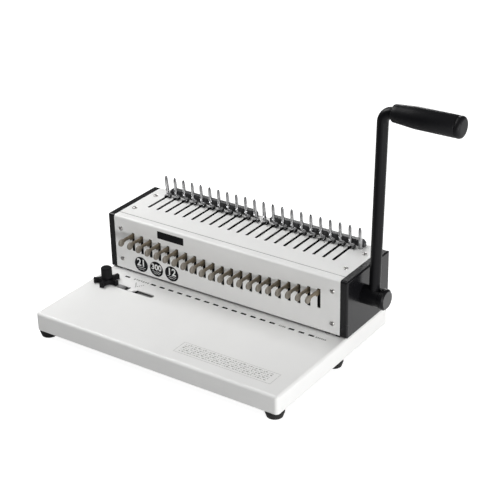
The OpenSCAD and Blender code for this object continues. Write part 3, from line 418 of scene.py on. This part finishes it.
def lathe(profile, sides):
    # Revolves (radius, height) pairs, from pole to pole, about the upright axis into a closed shape
    shape = bmesh.new()
    turns = [2 * math.pi * k / sides for k in range(sides)]
    rings = []
    for radius, height in profile:
        if radius < pole_r:
            rings.append([shape.verts.new((0, 0, height))])
        else:
            ring = [(radius * math.cos(a), radius * math.sin(a), height) for a in turns]
            rings.append([shape.verts.new(place) for place in ring])
    for near, far in zip(rings, rings[1:]):
        for k in range(sides):
            other = (k + 1) % sides
            if len(near) == 1:
                shape.faces.new((near[0], far[other], far[k]))
            elif len(far) == 1:
                shape.faces.new((near[k], near[other], far[0]))
            else:
                shape.faces.new((near[k], near[other], far[other], far[k]))
    return shape


def final_mesh(holder):
    # The mesh that an object has once its modifiers or its text are worked out
    seen = bpy.context.evaluated_depsgraph_get()
    return bpy.data.meshes.new_from_object(holder.evaluated_get(seen))


def combined(first, second, operation):
    # One closed mesh from two shapes, the second joined to the first or cut out of it
    holders = [in_scene("boolean_step", mesh_of("boolean_step", shape)) for shape in (first, second)]
    step = holders[0].modifiers.new("step", "BOOLEAN")
    step.object = holders[1]
    step.operation = operation
    step.solver = "EXACT"
    made = final_mesh(holders[0])
    for holder in holders:
        bpy.data.objects.remove(holder)
    return made


def smoothed(mesh, made, crease):
    # Gives a mesh its material and smooth shading, with edges above an angle in degrees kept sharp
    mesh.materials.append(made)
    mesh.shade_smooth()
    mesh.set_sharp_from_angle(angle=math.radians(crease))


def cross_head(height):
    # A pan head with a stub of its shank, in millimetres above its seat
    shank = [(0, shank_end), (shank_r, shank_end), (shank_r, 0)]
    head = lathe(shank + [(head_r * r, height * z) for r, z in dome], head_sides)
    corners = [(recess_long, -recess_short), (recess_long, recess_short), (recess_short, recess_short)]
    for quarter in range(3):
        corners += [(-y, x) for x, y in corners[-3:]]
    cutter = bmesh.new()
    floor_ring = [(recess_taper * x, recess_taper * y, recess_floor * height) for x, y in corners]
    open_ring = [(x, y, height + recess_over) for x, y in corners]
    skin(cutter, [[cutter.verts.new(place) for place in ring] for ring in (floor_ring, open_ring)])
    return combined(head, cutter, "DIFFERENCE")


tall_head = cross_head(tall_height)
flat_head = cross_head(flat_height)
to_front = Matrix.Rotation(math.pi / 2, 4, "X")
to_back = Matrix.Rotation(-math.pi / 2, 4, "X")
upright = Matrix.Identity(4)
screws = bmesh.new()
number = 0
for side in (-1, 1):
    seats = [(tall_head, at(side * screw_x, 0, z), to_front) for z in screw_rows]
    seats += [(tall_head, at(side * screw_x, y, panel_top), upright) for y in screw_depths]
    for z in screw_rows:
        seat = at(side * screw_x, 0, z)
        seat.y = back_face
        seats.append((flat_head, seat, to_back))
    for head, seat, facing in seats:
        number += 1
        turn = Matrix.Rotation(turn_step * number, 4, "Z")
        copy = head.copy()
        copy.transform(Matrix.Translation(seat) @ facing @ turn @ Matrix.Scale(mm, 4))
        screws.from_mesh(copy)
        bpy.data.meshes.remove(copy)
screw_mesh = mesh_of("cross_head_screws", screws)
screw_steel = metal("nickel_screw", pale=(0.56, 0.55, 0.54), deep=(0.38, 0.37, 0.36), rough=(0.2, 0.32),
                    stretch=(700, 700, 700), depth=0.004 * mm, edge=0.1 * mm)
smoothed(screw_mesh, screw_steel, screw_crease)
screw_piece = in_scene("cross_head_screws", screw_mesh)
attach(screw_piece, "frame")
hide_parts("panel_screws")

# Marks printed on the front
# Three round black badges with plain white numbers over two wavy lines, and a plain black bar near the
# top edge, screen printed on the coated panel.
badge_z = 48.8
badge_r = 10.8
badge_sides = 48
badges = {"21": -131.5, "300": -106.3, "12": -81.3}
badge_waves = ((6.8, 4.2, 0.5, 0.6), (5.0, 6.8, 0.4, 0.55))
wave_steps = 12
wave_turn = math.pi / 3
on_badge = (0.06, 0.12)
number_size, long_number_size = 14.2 * mm, 11.2 * mm
number_half_thick = 0.04 * mm
number_bold = 0.3 * mm
number_rise = 2.2
number_y = -0.1
front_bar = bar(-102.0, 95.2, -60.0, 105.6, 0.4)


def on_front(u, v, h):
    # A place on the front panel: along the row, above the desk and in front of the panel
    return at(u, -h, v)


def wave(middle, half, v, swing, wide):
    # Outline of a short wavy line
    ridge = []
    for k in range(wave_steps + 1):
        ridge.append((middle - half + 2 * half * k / wave_steps, v + swing * math.sin(k * wave_turn)))
    lower = [(x, y - wide / 2) for x, y in ridge]
    upper = [(x, y + wide / 2) for x, y in ridge]
    return lower + upper[::-1]


discs = []
waves = []
for middle in badges.values():
    turns = [2 * math.pi * k / badge_sides for k in range(badge_sides)]
    discs.append([(middle + badge_r * math.cos(a), badge_z + badge_r * math.sin(a)) for a in turns])
    for half, drop, swing, wide in badge_waves:
        waves.append(wave(middle, half, badge_z - drop, swing, wide))
printed("front_badges", discs, on_front, black_ink, "frame", "black_paint")
white_ink = ink("white_ink", (0.88, 0.88, 0.87), (0.84, 0.84, 0.83))
printed("badge_lines", waves, on_front, white_ink, "frame", "white_paint", *on_badge)
for words, middle in badges.items():
    letters = bpy.data.curves.new("badge_number_" + words, "FONT")
    letters.body = words
    letters.align_x = "CENTER"
    letters.align_y = "CENTER"
    letters.size = number_size if len(words) < 3 else long_number_size
    letters.extrude = number_half_thick
    letters.offset = number_bold
    holder = in_scene("badge_number", letters)
    number_mesh = final_mesh(holder)
    bpy.data.objects.remove(holder)
    number_mesh.transform(Matrix.Translation(at(middle, number_y, badge_z + number_rise)) @ to_front)
    number_mesh.materials.clear()
    number_mesh.materials.append(white_ink)
    piece = in_scene("badge_number_" + words, number_mesh)
    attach(piece, "frame")
printed("front_bar", [front_bar], on_front, black_ink, "frame", "black_paint")

# Side covers
# Black moulded shells with rounded edges, clipped over the frame plates. The right one has
# the hole for the lever shaft.
cover_black = finish("cover_black", pale=(0.007, 0.007, 0.008), deep=(0.005, 0.005, 0.006),
                     rough=(0.2, 0.28), grain=1300.0, depth=0.01 * mm, specular=0.28)
dress(cover_black, "left_side_cover", "right_side_cover")

# Punch drive
# The lever shaft turns two blackened cams, which press the punch bar down on its two posts.
# The bar carries 21 hardened punches, and two wire springs lift it again.
dress(dark_steel, "punch_bar", "press_cams", "hook_carriage")
dress(bright_steel, "punch_pins", "main_shaft", "return_springs", "opener_sectors")

# Pull tabs
# Twenty-one stamped and tumbled steel tabs, warm grey, one for each punch, with a thick round bead at the
# tip for the finger. A tab that is pulled out leaves its punch behind, so shorter sheets get fewer holes.
tab_metal = metal("tumbled_steel", pale=(0.168, 0.136, 0.093), deep=(0.122, 0.098, 0.066),
                  rough=(0.42, 0.56), stretch=(900, 900, 900), depth=0.012 * mm, edge=0.2 * mm, metallic=0.1)
# Painted light: the tabs grow paler towards the bead, for the tips lit by the key light beyond the next tab's
# shadow
shaded(tab_metal, "Y", front_face - 16.5 * mm, front_face - 24.5 * mm, (0.2, 0.18, 0.15))
tip_r = 4.7
tip_middle = (5.1, 4.2)
tip_joins = (52, 318)
tip_steps = 19
neck = (16.2, 3.5)
neck_root = 24.0
neck_steps = 8
tab_rings = ((0.0, 0.45), (0.13, 0.13), (0.45, 0.0))
bead_r = 5.0
bead_half = 2.2
bead_power = 3.4
bead_steps = 14
bead_sides = 40
tab_crease = 50


def squarish(value, power):
    # One coordinate of a rounded square from a sine or cosine: power 2 gives a circle, a higher one corners
    return math.copysign(abs(value) ** (2 / power), value)


def tab_outline(length, height):
    # Outline from the tail's top over the round tip and the hollow to the tail's bottom, in millimetres
    # behind the tip and above the tab's lower edge
    points = [(length, height)]
    for k in range(tip_steps + 1):
        a = math.radians(tip_joins[0] + (tip_joins[1] - tip_joins[0]) * k / tip_steps)
        points.append((tip_middle[0] + tip_r * math.cos(a), tip_middle[1] + tip_r * math.sin(a)))
    reach = neck[0] - points[-1][0]
    rise = neck[1] - points[-1][1]
    turns = [math.pi / 2 * k / neck_steps for k in range(1, neck_steps + 1)]
    points += [(neck[0] - reach * math.cos(a), neck[1] - rise + rise * math.sin(a)) for a in turns]
    points += [(neck[0] + (neck_root - neck[0]) * math.sin(a), neck[1] * math.cos(a)) for a in turns]
    points.append((length, 0.0))
    return points


def drawn_in(points, depth):
    # The outline with every point moved inwards, for the rounded edges
    moved = []
    for k, (u, v) in enumerate(points):
        before = points[k - 1]
        after = points[(k + 1) % len(points)]
        along = (after[0] - before[0], after[1] - before[1])
        size = math.hypot(*along)
        moved.append((u - along[1] / size * depth, v + along[0] / size * depth))
    return moved


def stamped_bar(thick, length, height):
    # The flat bar of a tab with rounded edges, in millimetres from the lower front corner of its box
    outline = tab_outline(length, height)
    shape = bmesh.new()
    rings = []
    for x, side, order in ((0, 1, tab_rings), (thick, -1, tab_rings[::-1])):
        for step, depth in order:
            rings.append([shape.verts.new((x + side * step, u, v)) for u, v in drawn_in(outline, depth)])
    skin(shape, rings)
    return shape


def tip_bead(thick):
    # The bead at the tip, a flattened ball that lies across the bar
    profile = []
    for k in range(bead_steps + 1):
        a = math.pi * (k / bead_steps - 0.5)
        radius = bead_r * squarish(math.cos(a), bead_power)
        profile.append((radius, bead_half * squarish(math.sin(a), bead_power)))
    shape = lathe(profile, bead_sides)
    lay = Matrix.Translation((thick / 2, *tip_middle)) @ Matrix.Rotation(math.pi / 2, 4, "Y")
    bmesh.ops.transform(shape, matrix=lay, verts=shape.verts)
    return shape


tab_low, tab_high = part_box("pull_tab_01")
tab_size = (tab_high - tab_low) / mm
tab_mesh = combined(stamped_bar(*tab_size), tip_bead(tab_size.x), "UNION")
smoothed(tab_mesh, tab_metal, tab_crease)
for number in range(1, hole_count + 1):
    tab_node = f"pull_tab_{number:02d}"
    copy = tab_mesh.copy()
    copy.transform(Matrix.Translation(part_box(tab_node)[0]) @ Matrix.Scale(mm, 4))
    tab_piece = in_scene(f"rounded_tab_{number:02d}", copy)
    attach(tab_piece, tab_node)
    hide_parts(tab_node)
bpy.data.meshes.remove(tab_mesh)

# Comb opener
# Chromed fingers, drawn to a point, stand fixed in a strip below the top plate. Chromed hooks come up
# through the slots and pull the rings of the comb open when the lever is pushed back.
chrome = metal("polished_chrome", pale=(0.68, 0.68, 0.69), deep=(0.5, 0.5, 0.51), rough=(0.08, 0.17),
               stretch=(300, 300, 60), depth=0.002 * mm)
# Painted shade: the chrome darkens towards the fingers' points, for the dark reflections there
shaded(chrome, "Z", (panel_top + 19) * mm, (panel_top + 27.5) * mm, (0.13, 0.13, 0.135))
finger_low, finger_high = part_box("comb_fingers")
finger_foot = 87.2
finger_lean = math.tan(math.radians(4.5))
finger_sides = 20
finger_power = 4
finger_crease = 45
strip_low = finger_low.z / mm
strip_top = strip_low + 3.0
strip_front = 1.8
# Height, half width and half thickness of a finger, from its foot to its point
finger_steps = ((strip_low, 2.4, 1.5), (panel_top + 4, 2.4, 1.5), (panel_top + 16, 2.07, 1.5),
                (panel_top + 23, 1.88, 1.4), (panel_top + 26.4, 1.6, 1.2), (panel_top + 28.2, 1.1, 0.9),
                (panel_top + 29.2, 0.6, 0.5), (panel_top + 29.58, 0.2, 0.2))
finger_turns = [2 * math.pi * k / finger_sides for k in range(finger_sides)]
finger_shape = bmesh.new()
for number in range(hole_count + 1):
    finger_x = (number - hole_count / 2) * hole_pitch
    rings = []
    for height, half_wide, half_thick in finger_steps:
        foot = finger_foot - max(0.0, height - strip_top) * finger_lean
        ring = []
        for a in finger_turns:
            across = half_wide * squarish(math.cos(a), finger_power)
            along = half_thick * squarish(math.sin(a), finger_power)
            ring.append(finger_shape.verts.new(at(finger_x + across, foot + along, height)))
        rings.append(ring)
    skin(finger_shape, rings)
strip_y0 = front_face + (finger_foot - strip_front) * mm
strip_corners = [(finger_low.x, strip_y0), (finger_high.x, strip_y0), (finger_high.x, finger_high.y),
                 (finger_low.x, finger_high.y)]
strip_rings = [[(x, y, z * mm) for x, y in strip_corners] for z in (strip_low, strip_top)]
skin(finger_shape, [[finger_shape.verts.new(place) for place in ring] for ring in strip_rings])
finger_mesh = mesh_of("pointed_fingers", finger_shape)
smoothed(finger_mesh, chrome, finger_crease)
finger_piece = in_scene("pointed_fingers", finger_mesh)
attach(finger_piece, "frame")
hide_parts("comb_fingers")
hook_chrome = metal("hook_chrome_painted_shade", pale=(0.74, 0.74, 0.75), deep=(0.4, 0.4, 0.41), rough=(0.12, 0.26),
                    stretch=(300, 60, 300), depth=0.003 * mm)
# Painted shade: the hooks turn near black below their arches, for the dark slots they reflect
shaded(hook_chrome, "Z", (panel_top + 4.6) * mm, (panel_top + 2.4) * mm, (0.03, 0.03, 0.032))
rail_black = finish("rail_black", pale=(0.07, 0.07, 0.073), deep=(0.052, 0.052, 0.055), rough=(0.35, 0.45),
                    grain=1300.0, depth=0.02 * mm, specular=0.4)
dress(hook_chrome, "opener_hooks")
dress(rail_black, "left_ring_rail", "right_ring_rail")

# Hand lever
# A bent round bar, painted satin black and pressed into a turned hub on the shaft's end. The hub's
# end face is painted a paler grey: a painted reflection.
satin_black = {"pale": (0.006, 0.006, 0.007), "deep": (0.004, 0.004, 0.005), "rough": (0.3, 0.4),
               "grain": 900.0, "depth": 0.01 * mm, "specular": 0.13}
hub_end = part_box("lever_hub")[1].x
lever_black = finish("lever_black", **satin_black)
hub_black = finish("hub_black", **satin_black)
# Painted reflection: the hub's end face fades to a paler grey
shaded(hub_black, "X", hub_end - 0.4 * mm, hub_end - 0.1 * mm, (0.08, 0.08, 0.081))
dress(lever_black, "lever_arm")
dress(hub_black, "lever_hub")

# Hand grip
# A moulded grip pushed over the end of the bar: it widens from a chamfered collar,
# and a shallow ring runs round it just before the rounded end.
grip_low, grip_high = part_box("hand_grip")
grip_middle = (grip_low + grip_high) / 2
grip_len = (grip_high.x - grip_low.x) / mm
grip_r = (grip_high.z - grip_low.z) / mm / 2
grip_sides = 64
grip_crease = 40
grip_collar = [(0, 0), (9.3, 0), (10.3, 0.6), (10.8, 1.5), (11.25, 7), (11.8, 14), (12.5, 22), (12.9, 27),
               (grip_r, 31)]
# How deep the shallow ring lies under the surface, and how far before the end
grip_ring = ((0, 8.2), (0.15, 8.0), (0.7, 7.6), (0.7, 6.6), (0.15, 6.2), (0, 6.0))
end_r = 4.0
end_steps = 8
end_flat = 4.0
grip_profile = grip_collar + [(grip_r - depth, grip_len - before) for depth, before in grip_ring]
for step in range(end_steps + 1):
    a = math.pi / 2 * step / end_steps
    grip_profile.append((grip_r - end_r * (1 - math.cos(a)), grip_len - end_r * (1 - math.sin(a))))
grip_profile += [(end_flat, grip_len), (0, grip_len)]
grip_mesh = mesh_of("moulded_grip", lathe(grip_profile, grip_sides))
grip_mesh.transform(Matrix.Translation((grip_low.x, grip_middle.y, grip_middle.z))
                    @ Matrix.Rotation(math.pi / 2, 4, "Y") @ Matrix.Scale(mm, 4))
grip_black = finish("grip_black", pale=(0.006, 0.006, 0.007), deep=(0.004, 0.004, 0.005), rough=(0.4, 0.5),
                    grain=1000.0, depth=0.04 * mm, specular=0.16)
smoothed(grip_mesh, grip_black, grip_crease)
grip_piece = in_scene("moulded_grip", grip_mesh)
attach(grip_piece, "lever")
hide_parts("hand_grip")

# Edge guide
# A grey moulded slider runs in the slot of the base, over a pale grey channel, with a white pointer at its
# end. The black star is the stop for the sheets' edge, and the knob on its stud clamps it.
pointer_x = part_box("guide_pointer")[0].x
slider_grey = finish("slider_grey", pale=(0.42, 0.42, 0.42), deep=(0.36, 0.36, 0.36), rough=(0.4, 0.5),
                     grain=1100.0, depth=0.02 * mm)
# Painted shade: the slider darkens towards the gap before the pointer, and turns near black below the base's
# top, inside the slot
shaded(slider_grey, "X", pointer_x - 16 * mm, pointer_x - 5 * mm, (0.1, 0.1, 0.1))
shaded(slider_grey, "Z", (table_z - 0.3) * mm, (table_z - 1.0) * mm, (0.008, 0.008, 0.009))
pointer_white = finish("pointer_white", pale=(0.86, 0.86, 0.85), deep=(0.82, 0.82, 0.81), rough=(0.25, 0.35),
                       grain=1100.0, depth=0.01 * mm)
# Painted shade: the pointer's end nearest the slider is near black, for the dark gap between them
shaded(pointer_white, "X", pointer_x + 2.4 * mm, pointer_x + 2.2 * mm, (0.01, 0.01, 0.011))
guide_black = finish("guide_black", pale=(0.007, 0.007, 0.008), deep=(0.005, 0.005, 0.006),
                     rough=(0.38, 0.5), grain=1100.0, depth=0.03 * mm, specular=0.12)
channel_grey = finish("channel_grey", pale=(0.5, 0.5, 0.5), deep=(0.42, 0.42, 0.42), rough=(0.45, 0.6),
                      grain=1100.0, depth=0.03 * mm)
dress(channel_grey, "guide_channel")
dress(slider_grey, "guide_slider")
dress(pointer_white, "guide_pointer")
dress(guide_black, "guide_stop", "guide_knob")

# Studio
# A pale floor without an edge in view, soft lights high on the left, low on the right and behind, a key
# light low at the front right, a dim surround, and the camera where the photograph was taken from.
floor_half = 5.0
floor_corners = [(x * floor_half, y * floor_half, 0) for x, y in ((-1, -1), (1, -1), (1, 1), (-1, 1))]
floor_glow = 0.9
floor_mesh = bpy.data.meshes.new("studio_floor")
floor_mesh.from_pydata(floor_corners, [], [(0, 1, 2, 3)])
floor = in_scene("studio_floor", floor_mesh)
floor_paper = finish("floor_paper", pale=(0.4, 0.4, 0.4), deep=(0.38, 0.38, 0.38), rough=(0.85, 0.95),
                     grain=300.0, depth=0.02 * mm, patch=2.0, specular=0.1)
# The paper glows for the camera and through clear things, and in mirrors only on its right side
paper = floor_paper.node_tree
paper_shader = paper.nodes["Principled BSDF"]
paper_shader.inputs["Emission Color"].default_value = (1, 1, 1, 1)
paper_ray = node(paper, "ShaderNodeLightPath")
paper_place = node(paper, "ShaderNodeTexCoord")
paper_axes = node(paper, "ShaderNodeSeparateXYZ")
paper_side = node(paper, "ShaderNodeMapRange", {"From Min": 0.05, "From Max": 0.15})
mirrored = node(paper, "ShaderNodeMath", operation="MULTIPLY")
seen_or_mirrored = node(paper, "ShaderNodeMath", operation="MAXIMUM")
seen_through = node(paper, "ShaderNodeMath", operation="MAXIMUM")
paper_glow = node(paper, "ShaderNodeMath", {1: floor_glow}, operation="MULTIPLY")
paper.links.new(paper_place.outputs["Object"], paper_axes.inputs["Vector"])
paper.links.new(paper_axes.outputs["X"], paper_side.inputs["Value"])
paper.links.new(paper_ray.outputs["Is Glossy Ray"], mirrored.inputs[0])
paper.links.new(paper_side.outputs["Result"], mirrored.inputs[1])
paper.links.new(paper_ray.outputs["Is Camera Ray"], seen_or_mirrored.inputs[0])
paper.links.new(mirrored.outputs["Value"], seen_or_mirrored.inputs[1])
paper.links.new(seen_or_mirrored.outputs["Value"], seen_through.inputs[0])
paper.links.new(paper_ray.outputs["Is Transmission Ray"], seen_through.inputs[1])
paper.links.new(seen_through.outputs["Value"], paper_glow.inputs[0])
paper.links.new(paper_glow.outputs["Value"], paper_shader.inputs["Emission Strength"])
floor_mesh.materials.append(floor_paper)

# The surround is white for the camera and through clear things, and else brightens from level to overhead
level_air, high_air, seen_air = 0.07, 0.38, 1.0
surround = bpy.data.worlds.new("studio_surround")
surround.use_nodes = True
air = surround.node_tree
backdrop = air.nodes["Background"]
backdrop.inputs["Color"].default_value = (1, 1, 1, 1)
air_ray = node(air, "ShaderNodeLightPath")
air_seen = node(air, "ShaderNodeMath", operation="MAXIMUM")
air_place = node(air, "ShaderNodeTexCoord")
air_axes = node(air, "ShaderNodeSeparateXYZ")
air_height = node(air, "ShaderNodeMapRange", {"To Min": level_air, "To Max": high_air})
air_level = node(air, "ShaderNodeMapRange", {"To Max": seen_air})
air.links.new(air_place.outputs["Generated"], air_axes.inputs["Vector"])
air.links.new(air_axes.outputs["Z"], air_height.inputs["Value"])
air.links.new(air_height.outputs["Result"], air_level.inputs["To Min"])
air.links.new(air_ray.outputs["Is Camera Ray"], air_seen.inputs[0])
air.links.new(air_ray.outputs["Is Transmission Ray"], air_seen.inputs[1])
air.links.new(air_seen.outputs["Value"], air_level.inputs["Value"])
air.links.new(air_level.outputs["Result"], backdrop.inputs["Strength"])
bpy.context.scene.world = surround


def softbox(name, place, aim, wide, power):
    # A square area light of a given width and power, turned to a place
    lamp = bpy.data.lights.new(name, "AREA")
    lamp.shape = "SQUARE"
    lamp.size = wide
    lamp.energy = power
    holder = in_scene(name, lamp)
    holder.location = place
    holder.rotation_euler = (Vector(aim) - Vector(place)).to_track_quat("-Z", "Y").to_euler()


softbox("left_softbox", place=(-0.85, 0.05, 1.0), aim=(-0.05, 0.0, 0.06), wide=0.7, power=11.4)
softbox("key_softbox", place=(2.4, -1.72, 0.42), aim=(-0.05, 0.0, 0.08), wide=0.6, power=46.0)
softbox("right_softbox", place=(1.9, 0.1, 0.2), aim=(0.0, 0.0, 0.06), wide=0.8, power=20.0)
softbox("rear_softbox", place=(-0.9, 2.2, 0.6), aim=(0.0, 0.05, 0.06), wide=0.8, power=14.0)

camera_place = at(909.14, -1249.05, 885.32)
look_right = Vector((0.826821459, 0.562185232, -0.017721177))
look_down = Vector((0.240557477, -0.381922811, -0.892337978))
look_ahead = Vector((-0.508427355, 0.733541227, -0.451019837))
camera = bpy.data.cameras.new("photo_camera")
camera.sensor_width = 36.0
camera.lens = 99.408
camera.clip_end = 30.0
camera_holder = in_scene("photo_camera", camera)
camera_turn = Matrix((look_right, -look_down, -look_ahead)).transposed().to_4x4()
camera_holder.matrix_world = Matrix.Translation(camera_place) @ camera_turn
bpy.context.scene.camera = camera_holder
bpy.context.scene.view_settings.view_transform = "Standard"
